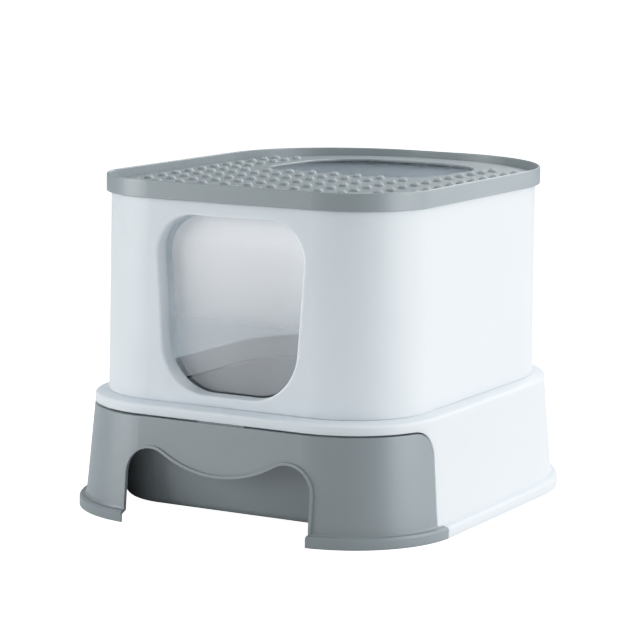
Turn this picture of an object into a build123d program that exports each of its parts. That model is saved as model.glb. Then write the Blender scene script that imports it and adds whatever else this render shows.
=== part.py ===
from build123d import *
from math import cos, hypot, radians, sin, sqrt
import os

# Hooded cat litter box, millimetres. +Z is up, -Y is the front with the entry, the origin is on the
# floor under the middle. Every wall runs parallel to the outline of the lid, so a wall is given as a
# section in (offset from the lid outline, height) and carried round that outline.

# Driving dimensions
LID_WIDTH = 384.0
LID_LENGTH = 496.0
FRONT_RADIUS = 92.5
BACK_RADIUS = 160.0
LID_TOP = 367.3
LID_RIM = 19.4
SEAM_HEIGHT = 130.4
SHELF_EDGE = 12.0
UPSTAND = 10.0
UPSTAND_NOTCH_DEPTH = 50.0
DRAWER_TOP = 115.2
FOOT_SPREAD = 29.4
FOOT_HEIGHT = 10.0
FOOT_STEP = 7.9
SKIRT_LOW = 15.5
SKIRT_HIGH = SEAM_HEIGHT - 14.4
WALL = 2.6
GAP = 2.0

# Lid
LID_FLOOR_TOP = 362.0
FLOOR_RADIUS_X = 3800.0
FLOOR_RADIUS_Y = 9600.0
HOLE_WIDTH = 209.0
HOLE_LENGTH = 204.0
HOLE_RADIUS = 67.0
HOLE_CENTRE_Y = 80.0
HOLE_EDGE_RADIUS = 1.2
RIM_WALL = 3.2
LID_FIT = 0.7
STUD_RADIUS = 6.0
STUD_HEIGHT = 4.2
STUD_PITCH = 28.4
STUD_COLUMNS = 12
STUD_FIRST_ROW = -209.0
STUD_ROWS = 13
STUD_EDGE_MARGIN = 27.0
STUD_HOLE_MARGIN = 16.0

# Hood
HOOD_FOOT_OFFSET = -3.0
HOOD_TOP_OFFSET = -5.4
HOOD_TOP = 353.2

# Entry in the front wall, a rounded opening that narrows towards the floor
ENTRY_TOP = 332.6
ENTRY_BOTTOM = 141.8
ENTRY_TOP_HALF = 91.6
ENTRY_BOTTOM_HALF = 78.9
ENTRY_TOP_RADIUS = 42.0
ENTRY_BOTTOM_RADIUS = 56.0
COLLAR_WALL = 2.4
COLLAR_BACK = -224.5
COLLAR_EDGE_RADIUS = 2.2

# Flap
FLAP_SIDE_GAP = 5.2
FLAP_BOTTOM_GAP = 1.2
FLAP_TOP_GAP = 1.6
FLAP_THICKNESS = 2.2
HINGE_Y = -220.0
HINGE_Z = 338.0
BARREL_RADIUS = 3.4
BARREL_HALF = 50.0
PIN_RADIUS = 2.0
PIN_START = 38.0
PIN_END = 60.5
EAR_INNER = 54.0
EAR_WIDTH = 5.0
EAR_RADIUS = 4.2
PIN_CLEARANCE = 0.08

# Drawer front: a wave-edged cutout makes the two finger pulls
CUT_HALF = 112.6
CREST_HEIGHT = 82.0
BELLY_HEIGHT = 59.1
CREST_RADIUS = 29.0
BEAD_WIDTH = 3.0
BEAD_HEIGHT = 2.0
PANEL_END_Y = -170.5
PANEL_END_LEAN = 4.0
PANEL_CORNER_RADIUS = 26.0
PANEL_FLANGE_END_Y = -159.5
CATCH_WIDTH = 58.0

# Tray
TRAY_BOTTOM = 12.0
TRAY_TOP = 112.4
TRAY_FOOT_OFFSET = -23.0
TRAY_MOUTH_OFFSET = -9.0
TRAY_EDGE_RADIUS = 9.0
RIM_OFFSET = 4.4

# Rails under the shelf, and their screws
RAIL_FRONT_Y = -150.0
RAIL_BACK_Y = 84.0
RAIL_PLATE_TOP = SEAM_HEIGHT - 10.4
RAIL_PLATE = 2.4
RAIL_LEDGE_TOP = TRAY_TOP - WALL - 0.4
RAIL_SCREW_Y = (-125.0, -33.0, 59.0)
SCREW_RADIUS = 1.5
SCREW_HEAD_RADIUS = 2.6
SCREW_HEAD = 2.0
BOSS_RADIUS = 4.0
DRAWER_SCREW_X = (-84.0, -42.0, 42.0, 84.0)
DRAWER_SCREW_Y = -LID_LENGTH / 2 + 1.0
DRAWER_LEDGE_OFFSET = -5.0

BIG = 400.0


def rounded(half, front_y, back_y, front_radius, back_radius, z):
    """Flat outline with its own front and back corner radii, at a height."""
    sheet = Pos(0, (front_y + back_y) / 2) * Rectangle(2 * half, back_y - front_y)
    corners = sheet.vertices().sort_by(Axis.Y)
    sheet = fillet(corners[:2], front_radius)
    corners = sheet.vertices().filter_by(lambda v: v.Y > back_y - 0.01)
    sheet = fillet(corners, back_radius)
    return Pos(0, 0, z) * sheet


def outline(offset, z):
    """The lid outline grown by an offset, at a height."""
    half_length = LID_LENGTH / 2 + offset
    return rounded(
        LID_WIDTH / 2 + offset, -half_length, half_length, FRONT_RADIUS + offset, BACK_RADIUS + offset, z
    )


def path():
    """The lid outline as a closed wire that starts in the middle of the right side."""
    half = LID_WIDTH / 2
    reach = LID_LENGTH / 2
    back_x = half - BACK_RADIUS
    back_y = reach - BACK_RADIUS
    front_x = half - FRONT_RADIUS
    front_y = -(reach - FRONT_RADIUS)
    return Wire(
        [
            Line((half, 0), (half, back_y)),
            CenterArc((back_x, back_y), BACK_RADIUS, 0, 90),
            Line((back_x, reach), (-back_x, reach)),
            CenterArc((-back_x, back_y), BACK_RADIUS, 90, 90),
            Line((-half, back_y), (-half, front_y)),
            CenterArc((-front_x, front_y), FRONT_RADIUS, 180, 90),
            Line((-front_x, -reach), (front_x, -reach)),
            CenterArc((front_x, front_y), FRONT_RADIUS, 270, 90),
            Line((half, front_y), (half, 0)),
        ]
    )


def ring(*points, rounds=()):
    """A wall: the section through (offset, height) points, carried round the outline.

    rounds lists (index of point, radius) for the section's rounded corners."""
    section = make_face(Polyline(*points, close=True))
    for index, radius in rounds:
        x, y = points[index]
        corner = section.vertices().sort_by_distance((x, y, 0))[0]
        section = fillet(corner, radius)
    frame = Plane(origin=(LID_WIDTH / 2, 0, 0), x_dir=(1, 0, 0), z_dir=(0, -1, 0))
    return sweep(frame * section, path())


def facing_front(sheet, y_from, y_to):
    """Extrude a sheet drawn as (x, z) along Y."""
    plane = Plane(origin=(0, y_to, 0), x_dir=(1, 0, 0), z_dir=(0, -1, 0))
    return extrude(plane * sheet, y_to - y_from)


def facing_side(sheet):
    """Extrude a sheet drawn as (y, z) right across the object."""
    plane = Plane(origin=(-BIG, 0, 0), x_dir=(0, 1, 0), z_dir=(1, 0, 0))
    return extrude(plane * sheet, 2 * BIG)


def hood_offset(z):
    """Outer face of the hood at a height: its walls lean in a little towards the lid."""
    share = (z - SEAM_HEIGHT) / (LID_TOP - LID_RIM - SEAM_HEIGHT)
    return HOOD_FOOT_OFFSET + share * (HOOD_TOP_OFFSET - HOOD_FOOT_OFFSET)


def skirt_offset(z):
    """Outer face of the base and the drawer front at a height: it flares towards the floor."""
    foot_offset = FOOT_SPREAD - FOOT_STEP
    share = (z - SKIRT_LOW) / (SKIRT_HIGH - SKIRT_LOW)
    return foot_offset - (foot_offset - SHELF_EDGE) * share


def foot_points():
    """The outer and inner section points of the foot shared by base and drawer front."""
    flange_top = FOOT_HEIGHT + 2.3
    face = skirt_offset(SKIRT_LOW)
    outside = [
        (FOOT_SPREAD, 0),
        (FOOT_SPREAD, FOOT_HEIGHT),
        (FOOT_SPREAD - 1.8, flange_top),
        (face + 1.6, SKIRT_LOW - 2.6),
        (face, SKIRT_LOW),
    ]
    inside = [
        (face - WALL, SKIRT_LOW - 4),
        (FOOT_SPREAD - WALL - 1.5, FOOT_HEIGHT - 1),
        (FOOT_SPREAD - WALL, FOOT_HEIGHT - 2.5),
        (FOOT_SPREAD - WALL, 0),
    ]
    return outside, inside


# ---------------------------------------------------------------- base


def drawer_region(grow):
    """Side view of the drawer front's extent, grown by the gap round it."""
    end = PANEL_END_Y + grow
    top = DRAWER_TOP + grow
    flange_end = PANEL_FLANGE_END_Y + grow
    flange_top = FOOT_HEIGHT + 3.3
    lean = (end, flange_top), (end + PANEL_END_LEAN, top)
    sheet = make_face(
        Polyline((-BIG, -5), (flange_end, -5), (flange_end, flange_top), *lean, (-BIG, top), close=True)
    )
    corner = sheet.vertices().sort_by_distance((end + PANEL_END_LEAN, top, 0))[0]
    return facing_side(fillet(corner, PANEL_CORNER_RADIUS + grow))


def base_frame():
    """Skirt on three sides, shelf, and the upstand that the hood drops over."""
    outside, inside = foot_points()
    seat_inner = HOOD_FOOT_OFFSET - WALL - 0.7
    throat = seat_inner - WALL
    throat_bottom = TRAY_TOP + WALL
    shelf = [
        (SHELF_EDGE, SKIRT_HIGH),
        (SHELF_EDGE - 0.5, SEAM_HEIGHT - 3.2),
        (HOOD_FOOT_OFFSET + 0.6, SEAM_HEIGHT),
        (seat_inner, SEAM_HEIGHT),
        (seat_inner, SEAM_HEIGHT + UPSTAND),
        (throat, SEAM_HEIGHT + UPSTAND),
        (throat, throat_bottom),
        (seat_inner, throat_bottom),
        (seat_inner, SEAM_HEIGHT - WALL),
        (HOOD_FOOT_OFFSET, SEAM_HEIGHT - WALL),
        (SHELF_EDGE - WALL - 0.5, SEAM_HEIGHT - 6),
    ]
    body = ring(*outside, *shelf, *inside, rounds=((6, 3.2), (9, 1.0), (10, 1.0)))
    for side in (-1, 1):
        for y in RAIL_SCREW_Y:
            x = side * (LID_WIDTH / 2 + 2)
            boss = Pos(x, y, RAIL_PLATE_TOP) * extrude(Circle(BOSS_RADIUS), 7.5)
            body += boss
            body -= Pos(x, y, RAIL_PLATE_TOP) * extrude(Circle(SCREW_RADIUS), 5.5)
    # The upstand stops short of the collar that lines the entry.
    notch_half = ENTRY_TOP_HALF + COLLAR_WALL + 4
    notch = Box(2 * notch_half, 2 * UPSTAND_NOTCH_DEPTH, 2 * UPSTAND)
    body -= Pos(0, -LID_LENGTH / 2, SEAM_HEIGHT + UPSTAND) * notch
    return body - drawer_region(GAP)


def rail(side):
    """C-shaped rail that hangs from the shelf and carries the rim of the tray."""
    edge = LID_WIDTH / 2
    web_outer = edge + 8.6
    top = RAIL_PLATE_TOP
    ledge = RAIL_LEDGE_TOP
    section = make_face(
        Polyline(
            (edge - 3, top),
            (web_outer, top),
            (web_outer, ledge - RAIL_PLATE),
            (edge + 0.6, ledge - RAIL_PLATE),
            (edge + 0.6, ledge),
            (web_outer - RAIL_PLATE, ledge),
            (web_outer - RAIL_PLATE, top - RAIL_PLATE),
            (edge - 3, top - RAIL_PLATE),
            close=True,
        )
    )
    section = fillet(section.vertices().sort_by(Axis.X)[-4:-2], 0.8)
    body = facing_front(section, RAIL_FRONT_Y, RAIL_BACK_Y)
    for y in RAIL_SCREW_Y:
        body -= Pos(edge + 2, y, top - 5) * extrude(Circle(SCREW_RADIUS), 6)
    return body if side > 0 else body.mirror(Plane.YZ)


def screw(x, y, z, length):
    """Pan-head screw that points up, with the underside of its head at z."""
    shank = extrude(Circle(SCREW_RADIUS), length)
    head = Pos(0, 0, -SCREW_HEAD) * extrude(Circle(SCREW_HEAD_RADIUS), SCREW_HEAD)
    head = fillet(head.edges().sort_by(Axis.Z)[0], 0.9)
    cross = Pos(0, 0, -SCREW_HEAD) * (Box(3.4, 0.8, 1.6) + Box(0.8, 3.4, 1.6))
    return Pos(x, y, z) * (shank + head - cross)


def rail_screws():
    """Three screws for each rail, driven up into the bosses of the shelf."""
    under_plate = RAIL_PLATE_TOP - RAIL_PLATE
    x = LID_WIDTH / 2 + 2
    return Compound([screw(side * x, y, under_plate, 7.4) for side in (-1, 1) for y in RAIL_SCREW_Y])


# ---------------------------------------------------------------- drawer


def wave(grow=0.0):
    """The cutout, drawn as (x, z): straight sides, two crests, and a belly between them."""
    half = CUT_HALF + grow
    crest = CREST_RADIUS + grow
    centre_x = CUT_HALF - CREST_RADIUS
    centre_z = CREST_HEIGHT - CREST_RADIUS
    rise = BELLY_HEIGHT - centre_z
    # The belly arc meets both crest arcs without a corner.
    belly = (centre_x**2 + rise**2 - CREST_RADIUS**2) / (2 * (CREST_RADIUS - rise))
    belly_z = BELLY_HEIGHT + belly
    span = hypot(centre_x, belly_z - centre_z)
    meet_x = centre_x - crest * centre_x / span
    meet_z = centre_z + crest * (belly_z - centre_z) / span
    crest_mid = (centre_x + crest * sin(radians(20)), centre_z + crest * cos(radians(20)))
    bottom = belly_z - (belly - grow)
    edges = [
        Line((-half, -1), (-half, centre_z)),
        ThreePointArc((-half, centre_z), (-crest_mid[0], crest_mid[1]), (-meet_x, meet_z)),
        ThreePointArc((-meet_x, meet_z), (0, bottom), (meet_x, meet_z)),
        ThreePointArc((meet_x, meet_z), crest_mid, (half, centre_z)),
        Line((half, centre_z), (half, -1)),
        Line((half, -1), (-half, -1)),
    ]
    return make_face(edges)


def drawer_front():
    """Flared front panel that wraps round both front corners and stands on its own foot."""
    outside, inside = foot_points()
    top_outer = skirt_offset(DRAWER_TOP)
    top = [
        (top_outer, DRAWER_TOP),
        (DRAWER_LEDGE_OFFSET, DRAWER_TOP),
        (DRAWER_LEDGE_OFFSET, TRAY_TOP),
        (top_outer - WALL, TRAY_TOP),
    ]
    body = ring(*outside, *top, *inside, rounds=((5, 1.2),))
    low_face = skirt_offset(SKIRT_LOW)
    high = CREST_HEIGHT + 4 * BEAD_WIDTH
    high_face = skirt_offset(high)
    bead = ring(
        (low_face - 1, SKIRT_LOW - 1),
        (low_face + BEAD_HEIGHT, SKIRT_LOW - 1),
        (high_face + BEAD_HEIGHT, high),
        (high_face - 1, high),
    )
    body &= drawer_region(0)
    strip = facing_front(wave(BEAD_WIDTH), -BIG, 0) - facing_front(wave(), -BIG, 0)
    body += bead & strip
    body -= facing_front(wave(), -BIG, 0)
    catch = Pos(0, -LID_LENGTH / 2 - top_outer + 4.2, DRAWER_TOP + 0.6) * Box(CATCH_WIDTH, 5.0, 1.6)
    body += fillet(catch.edges().filter_by(Axis.Z), 1.5)
    for x in DRAWER_SCREW_X:
        body -= Pos(x, DRAWER_SCREW_Y, TRAY_TOP) * extrude(Circle(SCREW_RADIUS), 2.0)
    return body


def litter_tray():
    """Deep pan whose walls lean out to a flat rim; the rim runs on the rails."""

    def pan(shrink, floor):
        foot = outline(TRAY_FOOT_OFFSET - shrink, floor)
        mouth = outline(TRAY_MOUTH_OFFSET - shrink, TRAY_TOP)
        block = loft([foot, mouth], ruled=True)
        return fillet(block.edges().group_by(Axis.Z)[0], TRAY_EDGE_RADIUS - shrink)

    rim = extrude(outline(RIM_OFFSET, TRAY_TOP - WALL), WALL)
    body = pan(0, TRAY_BOTTOM) + rim - pan(WALL, TRAY_BOTTOM + WALL)
    for x in DRAWER_SCREW_X:
        body -= Pos(x, DRAWER_SCREW_Y, TRAY_TOP - 5) * extrude(Circle(SCREW_RADIUS), 6)
    return body


def drawer_screws():
    """Four screws that hold the drawer front on the rim of the tray."""
    under_rim = TRAY_TOP - WALL
    return Compound([screw(x, DRAWER_SCREW_Y, under_rim, WALL + 1.9) for x in DRAWER_SCREW_X])


# ---------------------------------------------------------------- hood


def rounded_trapezoid(bottom, top, bottom_half, top_half, bottom_radius, top_radius):
    """Rounded outline that narrows downwards, drawn as (x, z)."""
    corners = (-bottom_half, bottom), (bottom_half, bottom), (top_half, top), (-top_half, top)
    sheet = make_face(Polyline(*corners, close=True))
    sheet = fillet(sheet.vertices().sort_by(Axis.Y)[:2], bottom_radius)
    upper = sheet.vertices().filter_by(lambda v: v.Y > top - 0.01)
    return fillet(upper, top_radius)


def entry(grow=0.0):
    """The entry outline, drawn as (x, z), grown evenly."""
    lean = (ENTRY_TOP_HALF - ENTRY_BOTTOM_HALF) / (ENTRY_TOP - ENTRY_BOTTOM)
    sideways = grow * sqrt(1 + lean**2)
    return rounded_trapezoid(
        ENTRY_BOTTOM - grow,
        ENTRY_TOP + grow,
        ENTRY_BOTTOM_HALF + sideways - lean * grow,
        ENTRY_TOP_HALF + sideways + lean * grow,
        ENTRY_BOTTOM_RADIUS + grow,
        ENTRY_TOP_RADIUS + grow,
    )


def hood_core(grow):
    """The space inside the hood's outer face, grown outward or shrunk inward."""
    low = outline(hood_offset(SEAM_HEIGHT) + grow, SEAM_HEIGHT)
    high = outline(hood_offset(HOOD_TOP) + grow, HOOD_TOP)
    return loft([low, high], ruled=True)


def flap_ear(side):
    """Ear on top of the collar that holds one of the flap's pins."""
    front = -LID_LENGTH / 2 + 12
    back = HINGE_Y + 1
    low = ENTRY_TOP - 0.5
    high = HINGE_Z + EAR_RADIUS
    web = Pos((front + back) / 2, (low + high) / 2) * Rectangle(back - front, high - low)
    sheet = web + Pos(HINGE_Y, HINGE_Z) * Circle(EAR_RADIUS)
    sheet -= Pos(HINGE_Y, HINGE_Z) * Circle(PIN_RADIUS + PIN_CLEARANCE)
    start = EAR_INNER if side > 0 else -EAR_INNER - EAR_WIDTH
    ear = extrude(Plane(origin=(start, 0, 0), x_dir=(0, 1, 0), z_dir=(1, 0, 0)) * sheet, EAR_WIDTH)
    return ear - facing_front(entry(0.8), -BIG, COLLAR_BACK + 0.1)


def hood_shell():
    """Smooth tapering wall, open above and below. The entry through its front turns inward into a
    collar with a rounded edge, and two ears above the collar hold the flap."""
    low = hood_offset(SEAM_HEIGHT)
    high = hood_offset(HOOD_TOP)
    wall = ring(
        (low - WALL, SEAM_HEIGHT),
        (low, SEAM_HEIGHT),
        (high, HOOD_TOP),
        (high - WALL, HOOD_TOP),
        rounds=((1, 0.9),),
    )
    collar = facing_front(entry(COLLAR_WALL), -BIG, COLLAR_BACK) & hood_core(-0.5)
    body = wall + collar - facing_front(entry(), -BIG, 0)
    reach = -LID_LENGTH / 2 - high - 0.5
    edge = body.edges().filter_by(lambda e: e.center().Y < reach and abs(e.center().X) < 95)
    edge = edge.filter_by(lambda e: SEAM_HEIGHT + 5 < e.center().Z < HOOD_TOP - 5)
    body = fillet(edge, COLLAR_EDGE_RADIUS)
    return body + flap_ear(-1) + flap_ear(1)


def entry_flap():
    """Clear flap, a smaller copy of the entry, hung from a barrel above the collar."""
    lean = (ENTRY_TOP_HALF - ENTRY_BOTTOM_HALF) / (ENTRY_TOP - ENTRY_BOTTOM)
    sheet = rounded_trapezoid(
        ENTRY_BOTTOM + FLAP_BOTTOM_GAP,
        ENTRY_TOP - FLAP_TOP_GAP,
        ENTRY_BOTTOM_HALF - FLAP_SIDE_GAP + lean * FLAP_BOTTOM_GAP,
        ENTRY_TOP_HALF - FLAP_SIDE_GAP - lean * FLAP_TOP_GAP,
        ENTRY_BOTTOM_RADIUS - 3,
        ENTRY_TOP_RADIUS - 2,
    )
    sheet += Pos(0, HINGE_Z - 10) * Rectangle(2 * BARREL_HALF, 20)
    back = HINGE_Y + FLAP_THICKNESS / 2
    body = facing_front(sheet, back - FLAP_THICKNESS, back)
    barrel = Plane(origin=(-BARREL_HALF, HINGE_Y, HINGE_Z), z_dir=(1, 0, 0)) * Circle(BARREL_RADIUS)
    body += extrude(barrel, 2 * BARREL_HALF)
    for side in (-1, 1):
        bore = Plane(origin=(side * PIN_START, HINGE_Y, HINGE_Z), z_dir=(side, 0, 0)) * Circle(PIN_RADIUS)
        body -= extrude(bore, BARREL_HALF - PIN_START + 1)
    return body


def flap_pin(side):
    """Hinge pin pressed into the end of the flap's barrel."""
    start = Plane(origin=(side * PIN_START, HINGE_Y, HINGE_Z), z_dir=(side, 0, 0))
    body = extrude(start * Circle(PIN_RADIUS), PIN_END - PIN_START)
    tip = body.edges().sort_by(Axis.X)[-1 if side > 0 else 0]
    return chamfer(tip, 0.5)


# ---------------------------------------------------------------- lid


def floor_height(x, y):
    """Top of the lid floor, which is crowned across the width and less so along the length."""
    across = FLOOR_RADIUS_X - sqrt(FLOOR_RADIUS_X**2 - x**2)
    along = FLOOR_RADIUS_Y - across
    return LID_FLOOR_TOP - FLOOR_RADIUS_Y + sqrt(along**2 - y**2)


def crown(depth):
    """Everything under the crowned floor surface, lowered by a depth."""
    major = FLOOR_RADIUS_Y - FLOOR_RADIUS_X
    centre = LID_FLOOR_TOP - FLOOR_RADIUS_Y
    return Pos(0, 0, centre) * Rot(0, 90, 0) * Torus(major, FLOOR_RADIUS_X - depth)


def hole(z):
    """Outline of the top entry at a height."""
    return Pos(0, HOLE_CENTRE_Y, z) * RectangleRounded(HOLE_WIDTH, HOLE_LENGTH, HOLE_RADIUS)


def outline_depth(x, y):
    """How far a point lies inside the lid outline."""
    radius = BACK_RADIUS if y > 0 else FRONT_RADIUS
    dx = abs(x) - (LID_WIDTH / 2 - radius)
    dy = abs(y) - (LID_LENGTH / 2 - radius)
    if dx > 0 and dy > 0:
        return radius - hypot(dx, dy)
    return radius - max(dx, dy)


def hole_distance(x, y):
    """How far a point lies outside the top entry."""
    dx = abs(x) - (HOLE_WIDTH / 2 - HOLE_RADIUS)
    dy = abs(y - HOLE_CENTRE_Y) - (HOLE_LENGTH / 2 - HOLE_RADIUS)
    return hypot(max(dx, 0), max(dy, 0)) + min(max(dx, dy), 0) - HOLE_RADIUS


def borders_top_entry(edge):
    """Whether an edge of the lid floor is part of the upper border of the top entry."""
    middle = edge @ 0.5
    on_border = abs(hole_distance(middle.X, middle.Y)) < 0.5
    return on_border and edge.length > 2 * WALL and middle.Z > floor_height(middle.X, middle.Y) - WALL / 2


def studs():
    """Domed studs on a square grid, kept clear of the rim and of the top entry."""
    dome_radius = (STUD_RADIUS**2 + STUD_HEIGHT**2) / (2 * STUD_HEIGHT)
    cap = Pos(0, 0, STUD_HEIGHT - dome_radius) * Sphere(dome_radius)
    cap &= Pos(0, 0, 4.0) * Box(30, 30, 10)
    places = []
    for column in range(STUD_COLUMNS):
        x = (column - (STUD_COLUMNS - 1) / 2) * STUD_PITCH
        for row in range(STUD_ROWS):
            y = STUD_FIRST_ROW + row * STUD_PITCH
            inside = outline_depth(x, y) > STUD_EDGE_MARGIN
            if inside and hole_distance(x, y) > STUD_HOLE_MARGIN:
                places.append(Pos(x, y, floor_height(x, y)) * cap)
    return places


def lid():
    """Recessed, crowned floor with a rim, studs and the top entry. The rim's skirt fits over the hood."""
    rim_low = LID_TOP - LID_RIM
    hood_face = hood_offset(HOOD_TOP)
    skirt = hood_face + LID_FIT
    ledge = hood_face - WALL - 1
    rim = ring(
        (0, rim_low),
        (0, LID_TOP),
        (-RIM_WALL, LID_TOP),
        (-RIM_WALL, HOOD_TOP + WALL),
        (ledge, HOOD_TOP + WALL),
        (ledge, HOOD_TOP),
        (skirt, HOOD_TOP),
        (skirt, rim_low),
        rounds=((0, 0.8), (1, 1.5), (2, 1.5)),
    )
    slab = extrude(outline(-RIM_WALL + 1, HOOD_TOP), LID_TOP - HOOD_TOP) & crown(0)
    slab -= crown(WALL)
    slab -= extrude(hole(HOOD_TOP - 5), 30)
    slab = fillet(slab.edges().filter_by(borders_top_entry), HOLE_EDGE_RADIUS)
    body = rim + slab
    return body.fuse(*studs())


# ---------------------------------------------------------------- files

os.makedirs("parts", exist_ok=True)
PARTS = {
    "base_frame": base_frame(),
    "rail_left": rail(-1),
    "rail_right": rail(1),
    "rail_screws": rail_screws(),
    "drawer_front": drawer_front(),
    "litter_tray": litter_tray(),
    "drawer_screws": drawer_screws(),
    "hood_shell": hood_shell(),
    "entry_flap": entry_flap(),
    "flap_pin_left": flap_pin(-1),
    "flap_pin_right": flap_pin(1),
    "lid": lid(),
}
for name, shape in PARTS.items():
    export_step(shape, f"parts/{name}.step")
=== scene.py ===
import bpy
from math import cos, exp, radians, sin
from mathutils import Matrix, Vector


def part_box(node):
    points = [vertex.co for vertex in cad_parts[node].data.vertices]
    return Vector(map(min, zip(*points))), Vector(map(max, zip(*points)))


# Looks, light and camera for a hooded cat litter box. Metres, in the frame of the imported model:
# +Z up, -Y out of the front entry, origin on the floor.

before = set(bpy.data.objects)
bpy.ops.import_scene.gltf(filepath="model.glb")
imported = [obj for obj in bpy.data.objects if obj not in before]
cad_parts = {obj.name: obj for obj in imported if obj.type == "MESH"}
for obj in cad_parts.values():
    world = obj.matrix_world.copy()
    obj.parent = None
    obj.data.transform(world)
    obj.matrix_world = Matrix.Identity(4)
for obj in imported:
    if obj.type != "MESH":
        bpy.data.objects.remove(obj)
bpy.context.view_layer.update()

# Camera
CAMERA_AZIMUTH = 27.96
CAMERA_ELEVATION = 9.39
CAMERA_DISTANCE = 3.0339
CAMERA_ROLL = 0.89
CAMERA_TARGET = Vector((0, 0, 0.160))
CAMERA_LENS = 150.42
CAMERA_SENSOR = 36.0
CAMERA_SHIFT = (-0.0263, 0.0459)

# Plastics, linear colour
WHITE = (0.80, 0.87, 0.96)
LID_GREY = (0.268, 0.299, 0.305)
# The drawer front and tray are the lid's plastic made darker: painted shade for the dimmer light on the
# drawer's upturned front.
SHADED_DRAWER_GREY = (0.238, 0.266, 0.274)
PIN_GREY = (0.10, 0.11, 0.12)
STEEL = (0.58, 0.58, 0.59)
CLEAR = (0.97, 0.97, 0.97)
PLASTIC_IOR = 1.49
GRAIN_SCALE = 2600.0
GRAIN_HEIGHT = 0.00008
RIPPLE_SCALE = 38.0
RIPPLE_HEIGHT = 0.0004
RIPPLE_STRENGTH = 0.25

# Flap haze and painted glare: how opaque the flap is below and above two heights, given as shares of the
# flap's height. The haze thickens upwards to paint in a softbox's reflection on the flap.
HAZE_GLARE_HEIGHTS = (0.35, 0.82)
HAZE_AND_GLARE_DENSITY = (0.21, 0.92)

# Studio
FLOOR_SIZE = 14.0
FLOOR_COLOUR = (0.80, 0.80, 0.80)
FLOOR_GLOW = 1.30
SKY_SEEN = 2.0
SKY_LIGHT = 0.31
LIGHT_COLOUR = (0.92, 0.96, 1.0)
ROLLOFF_START = 0.5
ROLLOFF_RANGE = 0.75
ROLLOFF_POINTS = (0.25, 0.50, 0.80, 1.05, 1.35)
CURVE_END = (2.0, 1.15)
LIGHT_TARGET = Vector((0, 0, 0.2))
# Name, azimuth, elevation, distance, width, height, power. Azimuth 0 is in front and 90 is to the right.
SOFTBOXES = (
    ("right_box", 92, 12, 2.8, 2.2, 1.4, 43),
    ("right_top_box", 120, 50, 2.8, 1.6, 1.6, 24),
    ("left_box", -50, 12, 2.8, 1.7, 1.4, 42),
    ("left_top_box", -120, 50, 2.8, 1.6, 1.6, 11),
    ("back_right_box", 142, 12, 2.8, 1.9, 1.4, 13),
    ("back_box", 180, 32, 2.8, 1.8, 1.4, 26),
    ("top_box", 0, 88, 1.6, 0.5, 0.5, 4),
)


# ---------------------------------------------------------------- node helpers


def new_material(name):
    material = bpy.data.materials.new(name)
    material.use_nodes = True
    tree = material.node_tree
    return material, tree, tree.nodes["Principled BSDF"]


def link(tree, source, target):
    tree.links.new(source, target)


def noise(tree, place, scale, detail=2.0, roughness=0.5, stretch=None):
    """A noise texture in object space. stretch squeezes the pattern along each axis."""
    texture = tree.nodes.new("ShaderNodeTexNoise")
    texture.inputs["Scale"].default_value = scale
    texture.inputs["Detail"].default_value = detail
    texture.inputs["Roughness"].default_value = roughness
    if stretch is None:
        link(tree, place, texture.inputs["Vector"])
    else:
        mapping = tree.nodes.new("ShaderNodeMapping")
        mapping.inputs["Scale"].default_value = stretch
        link(tree, place, mapping.inputs["Vector"])
        link(tree, mapping.outputs["Vector"], texture.inputs["Vector"])
    return texture.outputs["Fac"]


def remap(tree, value, low, high, to_low, to_high):
    node = tree.nodes.new("ShaderNodeMapRange")
    node.clamp = True
    node.inputs["From Min"].default_value = low
    node.inputs["From Max"].default_value = high
    node.inputs["To Min"].default_value = to_low
    node.inputs["To Max"].default_value = to_high
    link(tree, value, node.inputs["Value"])
    return node.outputs["Result"]


def blend_colour(tree, factor, first, second):
    node = tree.nodes.new("ShaderNodeMix")
    node.data_type = "RGBA"
    node.inputs["A"].default_value = (*first, 1)
    node.inputs["B"].default_value = (*second, 1)
    link(tree, factor, node.inputs["Factor"])
    return node.outputs["Result"]


def bump(tree, height, distance, strength, normal=None):
    node = tree.nodes.new("ShaderNodeBump")
    node.inputs["Distance"].default_value = distance
    node.inputs["Strength"].default_value = strength
    link(tree, height, node.inputs["Height"])
    if normal is not None:
        link(tree, normal, node.inputs["Normal"])
    return node.outputs["Normal"]


def shade(colour, factor):
    return tuple(channel * factor for channel in colour)


# ---------------------------------------------------------------- materials


def moulded_plastic(name, colour, roughness, grain, spread=0.04, gloss=0.5, depth=0.0):
    """Injection-moulded plastic: fine spark-eroded grain, faint flow marks, and slow changes of gloss.
    depth is how far light travels inside it, so that a thin wall lets some through."""
    material, tree, shader = new_material(name)
    place = tree.nodes.new("ShaderNodeTexCoord").outputs["Object"]
    cloud = noise(tree, place, 7.0, detail=3.0)
    tint = remap(tree, cloud, 0.3, 0.7, 0.0, 1.0)
    clouded = blend_colour(tree, tint, shade(colour, 1 - spread), shade(colour, 1 + spread))
    link(tree, clouded, shader.inputs["Base Color"])
    flow = noise(tree, place, 26.0, detail=4.0, stretch=(1.0, 1.0, 0.18))
    link(tree, remap(tree, flow, 0.3, 0.7, roughness - 0.02, roughness + 0.03), shader.inputs["Roughness"])
    fine = noise(tree, place, GRAIN_SCALE, detail=2.0)
    ripple = noise(tree, place, RIPPLE_SCALE, detail=1.0)
    surface = bump(tree, ripple, RIPPLE_HEIGHT, RIPPLE_STRENGTH)
    link(tree, bump(tree, fine, GRAIN_HEIGHT, grain, surface), shader.inputs["Normal"])
    shader.inputs["IOR"].default_value = PLASTIC_IOR
    shader.inputs["Specular IOR Level"].default_value = gloss
    if depth > 0:
        shader.inputs["Subsurface Weight"].default_value = 1.0
        shader.inputs["Subsurface Radius"].default_value = (1, 1, 1)
        shader.inputs["Subsurface Scale"].default_value = depth
    return material


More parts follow.
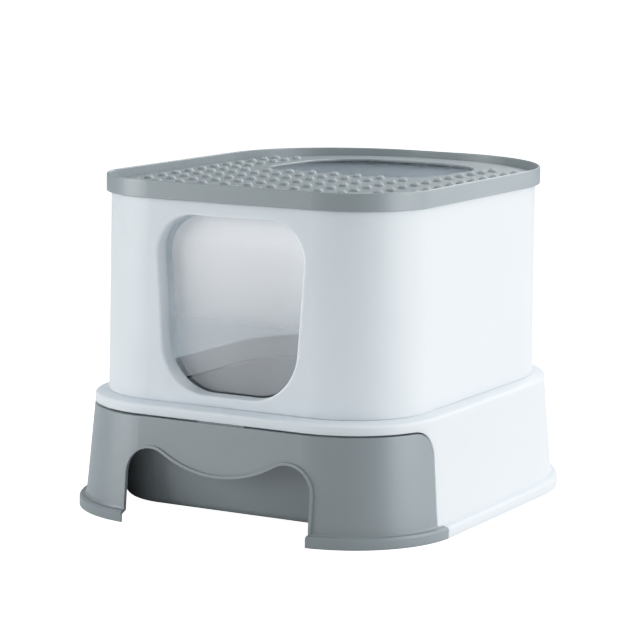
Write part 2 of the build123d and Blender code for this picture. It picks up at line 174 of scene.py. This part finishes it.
def clear_plastic():
    """Thin clear flap with soft ripples and a haze that gets denser towards the top. The haze partly
    stands for the frosted flap; its rise towards the top is painted glare, in place of a softbox's
    reflection.
    """
    material, tree, shader = new_material("clear_flap")
    place = tree.nodes.new("ShaderNodeTexCoord").outputs["Object"]
    haze = noise(tree, place, 5.0, detail=3.0, stretch=(1.0, 1.0, 0.5))
    height = tree.nodes.new("ShaderNodeSeparateXYZ")
    link(tree, place, height.inputs["Vector"])
    low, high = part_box("entry_flap")
    starts, ends = (low.z + share * (high.z - low.z) for share in HAZE_GLARE_HEIGHTS)
    # painted glare: opacity grows with height so the flap's top reads brighter, standing in for a
    # reflected softbox
    haze_and_glare = remap(tree, height.outputs["Z"], starts, ends, *HAZE_AND_GLARE_DENSITY)
    cloud = tree.nodes.new("ShaderNodeMath")
    cloud.operation = "MULTIPLY"
    link(tree, haze_and_glare, cloud.inputs[0])
    link(tree, remap(tree, haze, 0.25, 0.75, 0.92, 1.08), cloud.inputs[1])
    link(tree, cloud.outputs["Value"], shader.inputs["Alpha"])
    link(tree, remap(tree, haze, 0.25, 0.75, 0.12, 0.22), shader.inputs["Roughness"])
    ripple = noise(tree, place, 14.0, detail=1.0, stretch=(1.6, 1.0, 0.5))
    link(tree, bump(tree, ripple, 0.0012, 0.3), shader.inputs["Normal"])
    shader.inputs["Base Color"].default_value = (*CLEAR, 1)
    shader.inputs["IOR"].default_value = PLASTIC_IOR
    return material


def steel():
    """Zinc-plated screw steel with a fine brushed grain."""
    material, tree, shader = new_material("screw_steel")
    place = tree.nodes.new("ShaderNodeTexCoord").outputs["Object"]
    grain = noise(tree, place, 900.0, detail=3.0, stretch=(1.0, 1.0, 0.1))
    link(tree, remap(tree, grain, 0.3, 0.7, 0.25, 0.42), shader.inputs["Roughness"])
    link(tree, bump(tree, grain, 0.00005, 0.3), shader.inputs["Normal"])
    link(tree, blend_colour(tree, grain, shade(STEEL, 0.85), STEEL), shader.inputs["Base Color"])
    shader.inputs["Metallic"].default_value = 1.0
    return material


def dress(node, material):
    """Give a carried-over CAD node its material."""
    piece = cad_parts[node]
    piece.data.materials.clear()
    piece.data.materials.append(material)


white_gloss = moulded_plastic("white_moulding", WHITE, 0.34, 0.25, spread=0.01, depth=0.006)
lid_plastic = moulded_plastic("lid_moulding", LID_GREY, 0.35, 0.35, gloss=1.0)
shaded_drawer_plastic = moulded_plastic("shaded_drawer_moulding", SHADED_DRAWER_GREY, 0.35, 0.35, gloss=1.0)
white_slick = moulded_plastic("rail_moulding", WHITE, 0.45, 0.30)
pin_plastic = moulded_plastic("pin_moulding", PIN_GREY, 0.35, 0.20)
for node in ("hood_shell", "base_frame"):
    dress(node, white_gloss)
dress("lid", lid_plastic)
# drawer front and tray take the darkened grey: painted shade, not a different plastic
for node in ("drawer_front", "litter_tray"):
    dress(node, shaded_drawer_plastic)
for node in ("rail_left", "rail_right"):
    dress(node, white_slick)
for node in ("flap_pin_left", "flap_pin_right"):
    dress(node, pin_plastic)
for node in ("rail_screws", "drawer_screws"):
    dress(node, steel())
dress("entry_flap", clear_plastic())


# ---------------------------------------------------------------- studio


def studio_floor():
    mesh = bpy.data.meshes.new("studio_floor")
    half = FLOOR_SIZE / 2
    corners = [(-half, -half, 0), (half, -half, 0), (half, half, 0), (-half, half, 0)]
    mesh.from_pydata(corners, [], [(0, 1, 2, 3)])
    floor = bpy.data.objects.new("studio_floor", mesh)
    bpy.context.scene.collection.objects.link(floor)
    material, tree, shader = new_material("studio_floor")
    shader.inputs["Base Color"].default_value = (*FLOOR_COLOUR, 1)
    shader.inputs["Roughness"].default_value = 0.7
    shader.inputs["Emission Color"].default_value = (1, 1, 1, 1)
    seen = tree.nodes.new("ShaderNodeLightPath").outputs["Is Camera Ray"]
    link(tree, remap(tree, seen, 0, 1, 0, FLOOR_GLOW), shader.inputs["Emission Strength"])
    mesh.materials.append(material)


def sky():
    """White all round: bright where the camera sees it, softer as light."""
    world = bpy.data.worlds.new("studio")
    bpy.context.scene.world = world
    world.use_nodes = True
    tree = world.node_tree
    background = tree.nodes["Background"]
    seen = tree.nodes.new("ShaderNodeLightPath").outputs["Is Camera Ray"]
    link(tree, remap(tree, seen, 0, 1, SKY_LIGHT, SKY_SEEN), background.inputs["Strength"])
    background.inputs["Color"].default_value = (*LIGHT_COLOUR, 1)


def softbox(name, azimuth, elevation, distance, width, height, power):
    """Area light aimed at the middle of the object."""
    light = bpy.data.lights.new(name, "AREA")
    light.shape = "RECTANGLE"
    light.size = width
    light.size_y = height
    light.energy = power
    light.color = LIGHT_COLOUR
    lamp = bpy.data.objects.new(name, light)
    bpy.context.scene.collection.objects.link(lamp)
    a, e = radians(azimuth), radians(elevation)
    direction = Vector((sin(a) * cos(e), -cos(a) * cos(e), sin(e)))
    lamp.location = LIGHT_TARGET + direction * distance
    lamp.rotation_mode = "QUATERNION"
    lamp.rotation_quaternion = direction.to_track_quat("Z", "Y")


def camera():
    a, e = radians(CAMERA_AZIMUTH), radians(CAMERA_ELEVATION)
    back = Vector((sin(a) * cos(e), -cos(a) * cos(e), sin(e)))
    data = bpy.data.cameras.new("camera")
    data.lens = CAMERA_LENS
    data.sensor_width = CAMERA_SENSOR
    data.shift_x, data.shift_y = CAMERA_SHIFT
    eye = bpy.data.objects.new("camera", data)
    bpy.context.scene.collection.objects.link(eye)
    eye.location = CAMERA_TARGET + back * CAMERA_DISTANCE
    eye.rotation_mode = "QUATERNION"
    look = (-back).to_track_quat("-Z", "Y")
    roll = Matrix.Rotation(radians(CAMERA_ROLL), 3, "Z")
    eye.rotation_quaternion = (look.to_matrix() @ roll).to_quaternion()
    bpy.context.scene.camera = eye


def highlight_rolloff():
    """A camera's shoulder: whites lose contrast gently before they clip."""
    view = bpy.context.scene.view_settings
    view.view_transform = "Standard"
    view.use_curve_mapping = True
    mapping = view.curve_mapping
    mapping.clip_max_x = CURVE_END[0]
    mapping.clip_max_y = CURVE_END[0]
    shoulder = mapping.curves[3]
    shoulder.points[1].location = CURVE_END
    for light in ROLLOFF_POINTS:
        shoulder.points.new(light, rolled_off(light))
    mapping.update()


def rolled_off(light):
    over = max(light - ROLLOFF_START, 0)
    return light - over + ROLLOFF_RANGE * (1 - exp(-over / ROLLOFF_RANGE))


studio_floor()
sky()
for box in SOFTBOXES:
    softbox(*box)
camera()
highlight_rolloff()
